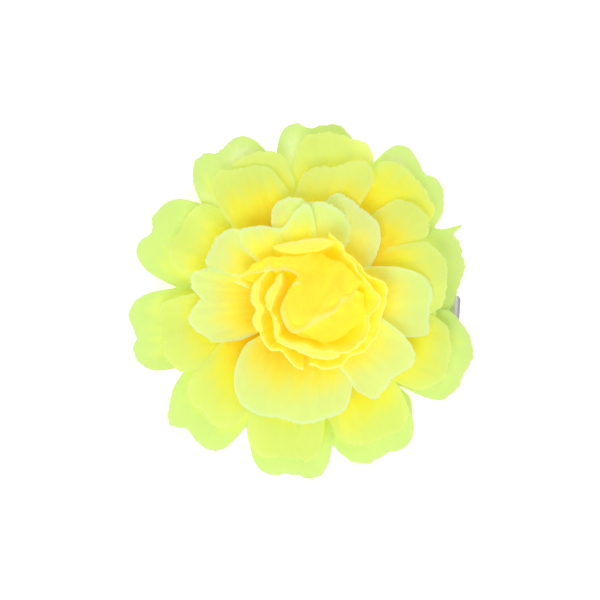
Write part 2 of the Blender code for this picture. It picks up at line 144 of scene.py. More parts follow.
class Finish:
    """A material under construction."""

    def __init__(self, name):
        self.material = bpy.data.materials.new(name)
        self.material.use_nodes = True
        self.tree = self.material.node_tree
        self.tree.nodes.clear()

    def node(self, kind, settings=None, values=None):
        """Adds a node: its settings first, then the values or links of its sockets."""
        made = self.tree.nodes.new(kind)
        for name, setting in (settings or {}).items():
            if name == "stops":
                ramp = made.color_ramp
                while len(ramp.elements) < len(setting):
                    ramp.elements.new(1.0)
                for stop, (place, colour) in zip(ramp.elements, setting):
                    stop.position = place
                    stop.color = colour if len(colour) == 4 else (*colour, 1.0)
            else:
                setattr(made, name, setting)
        for name, value in (values or {}).items():
            socket = made.inputs[name]
            if isinstance(value, Line):
                self.tree.links.new(value.socket, socket)
            else:
                socket.default_value = value
        return made

    def line(self, kind, output, settings=None, values=None):
        """One output of a new node, ready for arithmetic."""
        return Line(self, self.node(kind, settings, values).outputs[output])

    def maths(self, operation, *values):
        """A Math node."""
        return self.line("ShaderNodeMath", 0, {"operation": operation}, dict(enumerate(values)))

    def sine(self, value):
        """The sine of a value in radians."""
        return self.maths("SINE", value)

    def ramp(self, value, stops):
        """A colour read off a ramp."""
        return self.line("ShaderNodeValToRGB", "Color", {"stops": stops}, {"Fac": value})

    def fade(self, value, low, high):
        """0 at low and 1 at high, smooth between, held outside."""
        values = {"Value": value, "From Min": low, "From Max": high}
        return self.line("ShaderNodeMapRange", "Result", {"interpolation_type": "SMOOTHSTEP"}, values)

    def blend(self, share, first, second):
        """Two colours mixed by share."""
        values = {0: share, 6: first, 7: second}
        return self.line("ShaderNodeMix", 2, {"data_type": "RGBA"}, values)

    def noise(self, place, scale, detail=2.0, roughness=0.5):
        """Smooth noise about 0.5."""
        values = {"Vector": place, "Scale": scale, "Detail": detail, "Roughness": roughness}
        return self.line("ShaderNodeTexNoise", "Fac", None, values)

    def place(self):
        """Object coordinates in metres."""
        return self.line("ShaderNodeTexCoord", "Object")

    def stretched(self, place, scale):
        """Coordinates scaled unequally."""
        return self.line("ShaderNodeMapping", "Vector", None, {"Vector": place, "Scale": scale})

    def painted(self, name):
        """A number painted on the piece's vertices."""
        return self.line("ShaderNodeAttribute", "Fac", {"attribute_name": name})

    def bump(self, height, distance, strength=1.0):
        """A normal roughened by a height, distance being its depth in metres."""
        values = {"Height": height, "Distance": distance, "Strength": strength}
        return self.line("ShaderNodeBump", "Normal", None, values)

    def output(self, shader):
        """Ends the material with this shader."""
        end = self.node("ShaderNodeOutputMaterial")
        self.tree.links.new(shader.outputs[0], end.inputs["Surface"])
        return self.material


# ---------------------------------------------------------------- finishes

def petal_cloth(name, dye, rim, rim_highlight_share, rim_highlight_width, shine_through, sheer, painted_glow):
    """Thin woven polyester in yellow dye, with a painted highlight along its heat-cut edge, that light
    shines through.

    The first argument is the colour ramp from root to tip: the dye, with an orange root end that is painted
    shade for the deep places between layers. rim is the painted highlight's colour, and the next two set
    how much of it shows and how far in it goes. The light the cloth gives off in its own colour is painted
    light that lifts its shade, in place of the neon dye's fluorescence. The weave is the product of two
    sines along the thread map.
    """
    f = Finish(name)
    threads = f.node("ShaderNodeUVMap", {"uv_map": "cloth"})
    split = f.node("ShaderNodeSeparateXYZ")
    f.tree.links.new(threads.outputs[0], split.inputs[0])
    turn = math.tau / THREAD
    warp = f.sine(Line(f, split.outputs[0]) * turn)
    weft = f.sine(Line(f, split.outputs[1]) * turn)
    weave = warp * weft
    grain = f.noise(f.place(), 420.0, 3.0, 0.6)
    cloud = f.noise(f.place(), 75.0, 2.0, 0.5)
    streaks = f.noise(f.stretched(Line(f, threads.outputs[0]), (3.2, 0.7, 1.0)), 1.0, 3.0, 0.55)
    along = f.painted("along") + (cloud - 0.5) * 0.22 + (streaks - 0.5) * 0.26
    edge = f.painted("edge")
    # The ramp's orange root end is painted shade for the deep places between layers.
    dye_and_shade = f.ramp(along, dye)
    # Painted highlight: a pale band along the cut edge.
    pale = 1 - f.fade(edge + (grain - 0.5) * 1.2, 0.1, rim_highlight_width)
    colour = f.blend(pale * rim_highlight_share, dye_and_shade, (*rim, 1.0))
    fibres = f.noise(f.stretched(Line(f, threads.outputs[0]), (9.0, 60.0, 1.0)), 1.0, 4.0, 0.7)
    # Painted light: near white where the dye is thin, for the light shining through the cloth.
    backlit_thin_dye = f.painted("bare") * f.fade(fibres * 0.7 + grain * 0.3, 0.32, 0.6)
    colour = f.blend(backlit_thin_dye, colour, (0.96, 0.98, 0.82, 1.0))
    # Faint pale flecks following the threads: painted light showing through the gaps of the weave.
    colour = f.blend(f.fade(weave + (grain - 0.5), 0.2, 1.1) * 0.10, colour, (1.0, 1.0, 0.72, 1.0))
    normal = f.bump(weave * 0.5 + grain, 0.00006, 0.6)
    # Emission in the cloth's own colour is painted light that lifts its shade, in place of the neon dye's
    # fluorescence.
    cloth = f.node("ShaderNodeBsdfPrincipled", None, {
        "Base Color": colour, "Roughness": 0.85, "Sheen Weight": 0.25, "Sheen Roughness": 0.5,
        "Specular IOR Level": 0.2, "Normal": normal, "Emission Color": colour, "Emission Strength": painted_glow,
    })
    light = f.node("ShaderNodeBsdfTranslucent", None, {"Color": (*shine_through, 1.0)})
    share = sheer + f.fade(weave, -0.2, 1.0) * 0.1
    mixed = f.node("ShaderNodeMixShader", None, {0: share})
    f.tree.links.new(cloth.outputs[0], mixed.inputs[1])
    f.tree.links.new(light.outputs[0], mixed.inputs[2])
    return f.output(mixed)


def plated_steel(name, tone=0.74):
    """Nickel-plated spring steel: faint drawing lines along the clip and small scuffs."""
    f = Finish(name)
    place = f.place()
    drawn = f.noise(f.stretched(place, (60.0, 2600.0, 2600.0)), 1.0, 3.0)
    scuffs = f.noise(place, 900.0, 4.0, 0.7)
    bloom = f.noise(place, 120.0, 2.0)
    dull, bright = (tone, tone, tone * 1.01), (tone * 1.12, tone * 1.11, tone * 1.09)
    colour = f.ramp(bloom, [(0.3, dull), (0.7, bright)])
    rough = 0.2 + drawn * 0.18 + f.fade(scuffs, 0.62, 0.75) * 0.25
    steel = f.node("ShaderNodeBsdfPrincipled", None, {
        "Base Color": colour, "Metallic": 1.0, "Roughness": rough,
        "Normal": f.bump(drawn + scuffs * 0.4, 0.00002, 0.5),
    })
    return f.output(steel)


def felt(name, colour):
    """Pressed felt: matted fibres in two sizes."""
    f = Finish(name)
    place = f.place()
    fibres = f.noise(f.stretched(place, (1800.0, 5200.0, 1800.0)), 1.0, 5.0, 0.75)
    tufts = f.noise(place, 600.0, 4.0, 0.7)
    dark = tuple(c * 0.72 for c in colour)
    shade = f.ramp(fibres * 0.6 + tufts * 0.4, [(0.3, dark), (0.65, colour)])
    body = f.node("ShaderNodeBsdfPrincipled", None, {
        "Base Color": shade, "Roughness": 0.95, "Sheen Weight": 0.4, "Specular IOR Level": 0.1,
        "Normal": f.bump(fibres + tufts, 0.0003, 0.8),
    })
    return f.output(body)


def moulded_plastic(name, colour):
    """Moulded polythene with a slight flow pattern."""
    f = Finish(name)
    flow = f.noise(f.place(), 160.0, 3.0)
    shade = f.ramp(flow, [(0.35, tuple(c * 0.9 for c in colour)), (0.65, colour)])
    body = f.node("ShaderNodeBsdfPrincipled", None, {
        "Base Color": shade, "Roughness": 0.4 + flow * 0.15, "Subsurface Weight": 0.2,
        "Subsurface Scale": 0.001, "Normal": f.bump(flow, 0.0001, 0.4),
    })
    return f.output(body)


def set_glue(name):
    """Hot-melt glue: cloudy, waxy and slightly uneven."""
    f = Finish(name)
    place = f.place()
    cloud = f.noise(place, 220.0, 3.0)
    ripple = f.noise(place, 500.0, 1.0)
    shade = f.ramp(cloud, [(0.3, (0.80, 0.78, 0.62)), (0.7, (0.93, 0.91, 0.80))])
    body = f.node("ShaderNodeBsdfPrincipled", None, {
        "Base Color": shade, "Roughness": 0.25 + cloud * 0.15, "Subsurface Weight": 0.5,
        "Subsurface Scale": 0.0015, "Coat Weight": 0.2, "Normal": f.bump(ripple, 0.0004, 0.5),
    })
    return f.output(body)


# ---------------------------------------------------------------- petals

def smooth(x):
    """0 below 0, 1 above 1 and a smooth step between: 3x^2 - 2x^3."""
    x = np.clip(x, 0, 1)
    return x * x * (3 - 2 * x)


def through(values, t):
    """A smooth curve through values at even stations from t = -1 to 1 (Catmull-Rom pieces)."""
    values = np.asarray(values, float)
    held = np.concatenate([[2 * values[0] - values[1]], values, [2 * values[-1] - values[-2]]])
    x = (np.asarray(t) + 1) / 2 * (len(values) - 1)
    i = np.clip(np.floor(x).astype(int), 0, len(values) - 2)
    u = (x - i).reshape(x.shape + (1,) * (values.ndim - 1))
    a, b, c, d = held[i], held[i + 1], held[i + 2], held[i + 3]
    return b + 0.5 * u * (c - a + u * (2 * a - 5 * b + 4 * c - d + u * (3 * (b - c) + d - a)))


def ripple(x, y, seed, longest, shortest, count=7):
    """Sum of count plane waves of random heading and phase, their lengths spread between two lengths."""
    draw = np.random.default_rng(seed)
    lengths = np.geomspace(longest, shortest, count)
    heading = draw.uniform(0, math.tau, count)
    phase = draw.uniform(0, math.tau, count)
    total = 0
    for length, way, start in zip(lengths, heading, phase):
        wave = np.sin((x * math.cos(way) + y * math.sin(way)) * math.tau / length + start)
        total = total + wave * length / longest
    return total / 2


def centre_line(root, tip, root_rise, tip_rise, pull, s):
    """Cubic curve in (radius, height) with its rise set at both ends, and its unit direction."""
    a, b = math.radians(root_rise), math.radians(tip_rise)
    root, tip = np.array(root, float), np.array(tip, float)
    reach = np.linalg.norm(tip - root) * pull
    p = [root, root + reach * np.array([math.cos(a), math.sin(a)]),
         tip - reach * np.array([math.cos(b), math.sin(b)]), tip]
    s = s[..., None]
    line = (1 - s) ** 3 * p[0] + 3 * s * (1 - s) ** 2 * p[1] + 3 * s * s * (1 - s) * p[2] + s**3 * p[3]
    way = (1 - s) ** 2 * (p[1] - p[0]) + 2 * s * (1 - s) * (p[2] - p[1]) + s * s * (p[3] - p[2])
    return line, way / np.linalg.norm(way, axis=-1)[..., None]


def petal(sheet_z, direction, half, tips, tip_z, rises, seed, wave=0.8, cup=0.05, pull=0.36,
          curl=0.0, spike=None, bare=(), ridge=None, pale=0.0):
    """One petal on a grid, t from -1 to 1 across and s from 0 to 1 along.

    The end of column t is at radius tips(t), frayed by fine ripples and drawn out by a spike (t, length).
    Its points follow the centre line from the collar to there, at the angle direction + t * h(s), where h
    goes smoothly from FAN_HALF at the collar to half. They are lifted off it along its normal by
    cup * width * t^2 * s, by waves that grow as s^2.5 towards the edge, by a rim that curls up as
    curl * s^6, by creases that run from root to tip, and by a soft ripple of the whole cloth. A ridge
    (t, lean, width, height) is a fold standing along t, leaning by lean as s grows. Where the dye is thin,
    bare holds soft patches (t, s, width, length), which the cloth colours near white: painted light
    shining through. pale moves the colour on towards the tip's, or back towards the root's orange, which
    is painted shade, where it is negative.
    """
    t = np.linspace(-1, 1, ACROSS + 1)
    s = np.linspace(0, 1, ALONG + 1) ** ROW_SPREAD
    fray = 0.22 * ripple(t * half * 0.9, 0 * t, seed + 500, 4.2, 1.0, 7)
    fray = fray + 0.12 * ripple(t * half * 0.9, 0 * t, seed + 700, 1.5, 0.9, 4)
    ends = through(tips, t) + fray
    if spike:
        ends = ends + spike[1] * np.exp(-(((t - spike[0]) / SPIKE_WIDTH) ** 2))
    reach = max(tips)
    S, T = np.meshgrid(s, t, indexing="ij")
    line_s = S * (ends - COLLAR_R) / (reach - COLLAR_R)
    line, way = centre_line((COLLAR_R, sheet_z), (reach, tip_z), *rises, pull, line_s)
    half_angle = np.radians(FAN_HALF + (half - FAN_HALF) * smooth(line_s / 0.75))
    angle = math.radians(direction + TURN) + T * half_angle
    width = line[..., 0] * half_angle
    x, y = line[..., 0] * np.cos(angle), line[..., 0] * np.sin(angle)
    draw = np.random.default_rng(seed)
    first, second = draw.uniform(0, math.tau, 2)
    edge_wave = np.sin(T * half / 7.0 + first) + 0.5 * np.sin(T * half / 3.6 + second)
    lift = cup * width * T**2 * S + wave * edge_wave * S**2.5 + curl * S**6
    lift = lift + 0.35 * wave * ripple(x, y, seed, 26, 7) * smooth(S * 2)
    lift = lift + 0.5 * ripple(T * half / 4, S * 1.5, seed + 40, 7, 1.2, 8) * smooth(S * 1.6)
    if ridge:
        middle, lean, wide, tall = ridge
        lift = lift + tall * smooth(S * 1.5) * np.exp(-(((T - middle - lean * (S - 0.8)) / wide) ** 2))
    radius = line[..., 0] - way[..., 1] * lift
    height = line[..., 1] + way[..., 0] * lift
    points = np.stack([radius * np.cos(angle), radius * np.sin(angle), height], axis=-1)
    to_tip = (1 - S) * (ends - COLLAR_R)
    to_side = (1 - np.abs(T)) * width
    edge = np.minimum(to_tip, to_side + SPARED * (1 - smooth(line_s * 2)))
    thin = 0 * T
    for a, b, wide, long in bare:
        thin = np.maximum(thin, np.exp(-(((T - a) / wide) ** 2) - ((S - b) / long) ** 2))
    threads = np.stack([T * width, line_s * (reach - COLLAR_R)], axis=-1) / CM
    along = np.clip(line_s * 0.35 + S * 0.65 + pale, 0, 1)
    return {"points": points, "uv": threads, "edge": edge, "along": along, "bare": np.clip(thin, 0, 1)}


def curve_to(start, leave, arrive, end, s):
    """Cubic curve from start to end for each column, given its two middle controls."""
    s = s[:, None, None]
    return (1 - s) ** 3 * start + 3 * s * (1 - s) ** 2 * leave + 3 * s * s * (1 - s) * arrive + s**3 * end


def level(heights, t):
    """A column of heights along t, from one height or from several at even stations."""
    return through(np.broadcast_to(heights, 5) if np.isscalar(heights) else heights, t)[:, None]


def folded_petal(sheet_z, crest, lip, crest_z, lip_z, seed, wave=0.4, fold=1.0, dip=0.6,
                 roll=0.0, wrinkle=0.0):
    """An upright petal of the heart that turns over along its crest and ends at its lip.

    crest and lip are smooth curves seen from above, through points measured from the cup's middle. Each
    column rises on a cubic curve from the collar, at the crest's own bearing, to arrive upright at the
    crest, then turns over on a second cubic curve that leaves upright by fold and comes down on the lip by
    dip. With a roll, it ends that far short of the lip and a third curve turns up to it. Short waves along
    the crest and the lip ruffle both, and wrinkle is the depth of the creases in the part turned over.
    """
    t = np.linspace(-1, 1, ACROSS + 1)
    high, low = through(crest, t) + CUP_MIDDLE, through(lip, t) + CUP_MIDDLE
    run = np.concatenate([[0], np.cumsum(np.linalg.norm(np.diff(high, axis=0), axis=1))])
    out = high / np.linalg.norm(high, axis=1)[:, None]
    ruffle = ripple(run, 0 * run, seed, 9, 2.2, 6)[:, None]
    high = high + out * ruffle * wave
    low = low + out * (ruffle * 0.6 + 0.4 * ripple(run, 0 * run, seed + 3, 5, 1.6, 5)[:, None]) * wave
    up = np.array([0.0, 0.0, 1.0])
    crest_level = level(crest_z, t) + 0.7 * wave * ripple(run, 0 * run, seed + 1, 8, 2.5, 5)[:, None]
    lip_level = level(lip_z, t) + 0.7 * wave * ripple(run, 0 * run, seed + 2, 8, 2.5, 5)[:, None]
    root = np.hstack([out * COLLAR_R, 0 * crest_level + sheet_z])
    top = np.hstack([high, crest_level])
    end = np.hstack([low, lip_level])
    rise = crest_level - sheet_z
    spread = np.linalg.norm(high - out * COLLAR_R, axis=1)[:, None]
    leave = root + np.hstack([out * 0.55 * spread, rise * 0.2])
    below = curve_to(root, leave, top - up * rise * 0.55, top, np.linspace(0, 1, FOLD_ROWS))
    span = np.linalg.norm(low - high, axis=1)[:, None]
    back = roll * smooth(span / 10) / np.maximum(span, 0.1)
    crease = end + (top - end) * back - up * roll * 0.5 * smooth(span / 10)
    over = curve_to(top, top + up * fold, crease + up * dip, crease, np.linspace(0, 1, FOLD_ROWS)[1:])
    if roll:
        turned = curve_to(crease, crease + (end - crease) * 0.5 - up * roll * 0.1, end + up * roll * 0.1,
                          end, np.linspace(0, 1, ROLL_ROWS)[1:])
        over = np.concatenate([over, turned])
    folds = ripple(over[..., 0], over[..., 1], seed + 20, 9, 3.5, 7)
    over[..., 2] += wrinkle * folds * np.sin(np.linspace(0, math.pi, len(over)))[:, None]
    points = np.concatenate([below, over])
    points[..., 2] += 0.375 * wave * ripple(points[..., 0], points[..., 1], seed + 9, 12, 3)
    turn = math.radians(TURN)
    x, y = points[..., 0].copy(), points[..., 1].copy()
    points[..., 0] = x * math.cos(turn) - y * math.sin(turn)
    points[..., 1] = x * math.sin(turn) + y * math.cos(turn)
    step = np.linalg.norm(np.diff(points, axis=0), axis=-1)
    length = np.concatenate([0 * step[:1], np.cumsum(step, axis=0)])
    share = length / length[-1]
    side = (1 - np.abs(t)) * run[-1] / 2
    edge = np.minimum(length[-1] - length, side + FOLD_SPARED * (1 - share))
    threads = np.stack([np.broadcast_to(run, length.shape), length], axis=-1) / CM
    return {"points": points, "uv": threads, "edge": edge, "along": share, "bare": 0 * share}


def grid_faces(first, rows, columns):
    """Quads of a grid of points numbered row by row from first."""
    r, c = np.meshgrid(np.arange(rows - 1), np.arange(columns - 1), indexing="ij")
    corner = first + (r * columns + c).ravel()
    return np.stack([corner, corner + columns, corner + columns + 1, corner + 1], axis=-1)


def cloth_mesh(name, patches):
    """A mesh of several grids of points, with their thread map and painted numbers."""
    points, faces, uv, first = [], [], [], 0
    for patch in patches:
        rows, columns = patch["points"].shape[:2]
        points.append(patch["points"].reshape(-1, 3))
        uv.append(patch["uv"].reshape(-1, 2))
        faces.append(grid_faces(first, rows, columns))
        first += rows * columns
    faces = np.concatenate(faces)
    mesh = bpy.data.meshes.new(name)
    mesh.from_pydata(np.concatenate(points) * MM, [], faces[:, ::-1])
    layer = mesh.uv_layers.new(name="cloth")
    layer.data.foreach_set("uv", np.concatenate(uv)[faces[:, ::-1].ravel()].ravel().astype(np.float32))
    for label in ("edge", "along", "bare"):
        paint = mesh.attributes.new(label, "FLOAT", "POINT")
        values = np.concatenate([patch[label].ravel() for patch in patches])
        paint.data.foreach_set("value", values.astype(np.float32))
    mesh.shade_smooth()
    return mesh


def collar(sheet_z):
    """The flat pierced ring that a sheet's petals grow from: angle round it by radius across it.

    All of it counts as a collar's radius away from a cut edge, so it takes none of the painted rim
    highlight and keeps the root's orange, which is painted shade.
    """
    angle, radius = np.meshgrid(np.linspace(0, math.tau, 61), [HOLE_R, COLLAR_R + COLLAR_LAP])
    points = np.stack([radius * np.cos(angle), radius * np.sin(angle), 0 * angle + sheet_z], axis=-1)
    return {"points": points, "uv": points[..., :2] / CM, "edge": 0 * angle + COLLAR_R, "along": 0 * angle,
            "bare": 0 * angle}


def add(mesh, finish, body):
    """Links a finished mesh, dressed in its material, riding on a body."""
    piece = bpy.data.objects.new(mesh.name, mesh)
    bpy.context.scene.collection.objects.link(piece)
    mesh.materials.append(finish)
    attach(piece, body)
    return piece


def flat_area(patches):
    """Area of the cloth in square metres, from the grids' own quads."""
    total = 0
    for patch in patches:
        p = patch["points"] * MM
        a, b = p[1:, 1:] - p[:-1, :-1], p[1:, :-1] - p[:-1, 1:]
        total += 0.5 * np.linalg.norm(np.cross(a, b), axis=-1).sum()
    return float(total)


def sheet_level(node):
    """Height in millimetres of the middle of a sheet's collar."""
    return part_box(node)[0][2] / MM + CLOTH_HALF


def seed_of(node, number):
    """A seed of its own for each petal of each sheet."""
    return sum(map(ord, node)) * 10 + number


def lay_cloth(node, patches, finish):
    """A whole sheet of cloth, collar and petals, in place of its plain solid."""
    patches = [collar(sheet_level(node))] + patches
    piece = add(cloth_mesh(node + "_cloth", patches), finish, "flower_arm")
    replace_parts(piece, node)
    area = flat_area(patches)
    return piece


def lay_sheet(node, petals, finish, rises, slot, **shape):
    """A sheet of fanned petals; petals are (direction, half, tips, tip height, extras)."""
    patches = []
    for number, (direction, half, tips, tip_z, extra) in enumerate(petals):
        values = {**shape, **extra}
        patches.append(petal(sheet_level(node), direction, half, tips, tip_z, rises, seed_of(node, number),
                             **values))
    return lay_cloth(node, patches, finish)


def make_skirt(outer, middle):
    """The large outer petals: three sheets, each petal with its own lobes."""
    lay_sheet("skirt_petals_1", [
        (11, 20, (47.0, 47.2, 48.6, 50.4, 52.8, 53, 53, 50.4, 46), 13.2, {"spike": (0.71, 5.0)}),
        (83, 19, (38, 48, 54.2, 56.8, 56.3, 55, 56.4, 54, 44), 13.4, {"bare": ((0.6, 0.8, 0.2, 0.14),)}),
        (156, 20, (44, 51.5, 54, 54.5, 53, 55.5, 54.5, 48, 36), 13.6, {}),
        (228, 20, (38, 48.5, 54, 58, 55.5, 56.5, 56.5, 52, 37), 13.2, {}),
        (299, 19, (45, 52, 55.6, 56.1, 55.7, 56.9, 56, 51.5, 46), 13.4, {}),
    ], outer, (7, -5), "petal_cloth")
    lay_sheet("skirt_petals_2", [
        (46, 19, (45, 52.4, 55.8, 57.4, 55.8, 57.4, 58.6, 55.5, 43), 16.0,
         {"bare": ((-0.3, 0.85, 0.3, 0.05), (0.4, 0.88, 0.3, 0.05))}),
        (120, 18, (46, 53, 55.8, 55.2, 54.3, 56.2, 55.2, 50.3, 42), 16.2,
         {"bare": ((-0.35, 0.9, 0.35, 0.05), (0.75, 0.74, 0.15, 0.16)), "pale": -0.04}),
        (192, 19, (36, 50, 55, 55.5, 54.5, 56.5, 55.5, 51, 38), 16.0, {}),
        (264, 18.5, (44, 50, 55, 56.5, 55.5, 55.8, 56.6, 54.3, 45), 16.2, {}),
        (337, 19, (40, 52.8, 56, 56.5, 56.2, 56.8, 55, 51.8, 46.8), 15.6, {}),
    ], outer, (11, -5), "petal_cloth")
    lay_sheet("skirt_petals_3", [
        (6, 20, (34, 41, 42, 42, 42, 42, 42, 41, 34), 18.4, {}),
        (77.5, 17.5, (44, 51, 53.4, 53.6, 53.6, 53.6, 53, 50.5, 41), 18.6, {}),
        (150, 20, (34, 43, 45, 45.5, 45, 45.5, 45, 43, 34), 18.6, {}),
        (228, 20, (34, 41, 42, 42, 42, 42, 42, 41, 34), 18.6, {}),
        (300, 20, (34, 45, 49, 50.5, 50.5, 51.5, 51, 47, 36), 18.6, {}),
    ], middle, (15, -6), "petal_cloth")


def make_middle(cloth):
    """The middle tier: two sheets of slightly shorter petals."""
    lay_sheet("mid_petals_1", [
        (47, 18, (42, 50, 51.2, 52.2, 52.4, 52.6, 52.2, 50, 40), 19.4, {"pale": -0.13}),
        (110, 16, (38, 46, 48, 48.8, 49, 48.9, 48, 46, 40), 20.8, {}),
        (196, 20, (34, 44, 46, 46, 45.5, 47, 46, 44, 34), 20.8, {"pale": 0.04}),
        (262, 20, (34, 45, 50, 51.5, 50.5, 50, 51, 47, 34), 20.8, {"pale": 0.1}),
        (336, 19, (36, 46, 49, 51, 50.3, 49.7, 48, 46, 38), 20.8, {"pale": -0.05}),
    ], cloth, (17, -6), "petal_cloth")
    lay_sheet("mid_petals_2", [
        (12, 19, (40, 44, 45, 45.5, 46.4, 46.4, 44.7, 42, 32), 22.6, {}),
        (77, 18, (44, 47.1, 47.2, 45.2, 43, 42.7, 41.8, 39.5, 33), 23.0, {}),
        (114, 19, (30, 38, 43.3, 45.2, 45.8, 46.8, 48.6, 46, 38), 22.8, {}),
        (228, 18, (32, 43, 46.5, 48, 47.5, 48.5, 48, 44.5, 34), 21.2, {"wave": 0.5}),
        (37, 14, (38, 43.5, 46, 47, 47, 46.2, 45.2, 43, 36), 21.4, {"wave": 0.4}),
    ], cloth, (21, -6), "petal_cloth")


def make_ruffles(cloth):
    """The ring of wide petals round the cup, with a painted highlight along their edges."""
    lay_sheet("ruffle_petals_1", [
        (2, 23, (33, 40.3, 40, 40, 40.4, 40, 37, 32, 24), 25.2, {}),
        (53, 27, (23, 28.2, 31.7, 33.6, 34, 34.3, 35.2, 35, 30), 25.4, {}),
        (138, 27, (22, 25, 27.4, 30, 32.4, 33.3, 33, 32.8, 30), 26.4, {"ridge": (-0.2, -0.6, 0.25, 1.0)}),
        (186, 26, (31, 35.4, 35.2, 32.6, 35.5, 36.2, 33.6, 31, 24), 27.2, {}),
        (259, 43, (23, 32, 37.6, 38.7, 37.6, 38.8, 38, 37, 30), 25.4, {}),
    ], cloth, (26, -6), "petal_cloth", wave=0.9)
    lay_sheet("ruffle_petals_2", [
        (323, 23, (33, 38.2, 38, 37.5, 38, 39.7, 38.6, 34.5, 27), 28.4, {}),
        (74, 22, (24, 27.7, 29.4, 30.5, 31.1, 31.2, 30.8, 30, 27), 28.0, {}),
        (97, 16, (26, 29.6, 31.2, 32, 32.3, 32.2, 31.5, 30, 26), 28.8, {}),
        (109, 31, (21, 29.2, 28.6, 25.6, 24.4, 26.4, 28.0, 29.2, 26.4), 30.6,
         {"wave": 0.5, "ridge": (-0.65, 0.0, 0.2, 0.9), "pale": -0.1}),
        (235, 24, (10, 10.5, 11, 11, 11, 11, 11, 10.5, 10), 22.0, {}),
    ], cloth, (36, 4), "petal_cloth", wave=0.9)


def on_ring(*places):
    """Points of a curve round the cup from pairs of bearing and radius."""
    bearing, radius = np.array(places, float).T
    bearing = np.radians(bearing)
    return np.stack([radius * np.cos(bearing), radius * np.sin(bearing)], axis=-1)


def lay_upright(node, petals, cloth):
    """A sheet of upright petals; petals are (crest, lip, crest height, lip height, extras)."""
    patches = []
    for number, (crest, lip, crest_z, lip_z, extra) in enumerate(petals):
        z = sheet_level(node) + CUP_LAYER * number
        patches.append(folded_petal(z, crest, lip, crest_z, lip_z, seed_of(node, number), **extra))
    lay_cloth(node, patches, cloth)


def make_cup(cup):
    """The cup of upright ruffled petals: an outer ring and an inner one."""
    outer_right = np.array([(6.4, 17.6), (8.4, 15.2), (11.3, 12.4), (15.8, 7.7), (20.2, 5.5), (21.1, 1.7),
                            (19.6, -4.3), (18.8, -8.8), (15.8, -13.4)])
    outer_low = np.array([(17.2, -11.2), (13.5, -15.4), (9.7, -16.6), (7.2, -19.4), (2.4, -20.4),
                          (-2.6, -19.0)])
    corner = np.array([(-17.3, -9.0), (-16.2, -12.4), (-14.4, -14.6), (-10.6, -15.3), (-7.5, -19.1),
                       (-4.4, -20.8)])
    lay_upright("cup_petals_1", [
        (outer_right, outer_right * 1.03, 32.6, 32.0, {"wave": 0.55}),
        (outer_low, outer_low * 1.04, 32.4, 31.8, {}),
        (corner, corner * 1.04, 32.2, 31.6, {}),
        ([(-15.6, 9.8), (-17.6, 5.1), (-18.3, 0.6), (-16.6, -2.4), (-17.4, -6.1), (-17.4, -9.8)],
         [(-16.4, 9.6), (-20.4, 4.1), (-20.9, 0.3), (-19.4, -2.6), (-20.2, -6.1), (-19.4, -9.4)],
         33.2, 32.2, {}),
        ([(-13.8, 16.4), (-10.6, 15.1), (-6.6, 14.7), (-2.5, 15.0), (1.1, 15.7), (5.3, 18.1)],
         [(-14.0, 16.9), (-10.8, 17.9), (-6.6, 18.7), (-2.4, 19.4), (1.7, 19.5), (5.6, 18.5)],
         33.4, 32.2, {"wave": 0.12}),
    ], cup)
    right = np.array([(3.4, 20.8), (7.5, 16.8), (8.3, 13.8), (11.3, 10.8), (15.1, 5.4), (18.6, 1.6),
                      (18.6, -1.3), (15.8, -4.3), (15.8, -8.8), (12.3, -13.4)])
    low = np.array([(14.6, -11.0), (11.4, -13.9), (7.4, -15.6), (2.6, -15.2), (-2.4, -14.6), (-7.4, -13.4),
                    (-12.0, -11.0)])
    back = on_ring((84, 14.5), (100, 13.5), (116, 14.0), (132, 15.2), (146, 16.0))
    lay_upright("cup_petals_2", [
        (right, right * 1.03, 33.8, 33.3, {"wave": 0.55}),
        (low, low * 1.05, 33.2, 32.8, {}),
        ([(6.6, -16.2), (2.6, -15.6), (-2.0, -14.0), (-5.6, -13.2), (-9.0, -13.0), (-12.4, -11.6)],
         [(6.8, -17.4), (2.4, -18.2), (-2.2, -17.4), (-6.0, -16.0), (-9.6, -14.4), (-12.9, -12.2)],
         33.0, 32.4, {}),
        ([(-10.9, 8.7), (-11.8, 3.5), (-14.3, -2.2), (-13.0, -5.4), (-11.6, -8.6), (-12.0, -11.8)],
         [(-11.8, 8.6), (-15.7, 2.9), (-16.2, -1.0), (-15.0, -3.6), (-13.8, -7.0), (-13.4, -11.6)],
         33.6, 32.8, {}),
        (back, back * 1.03, 31.0, 31.0, {}),
    ], cup)


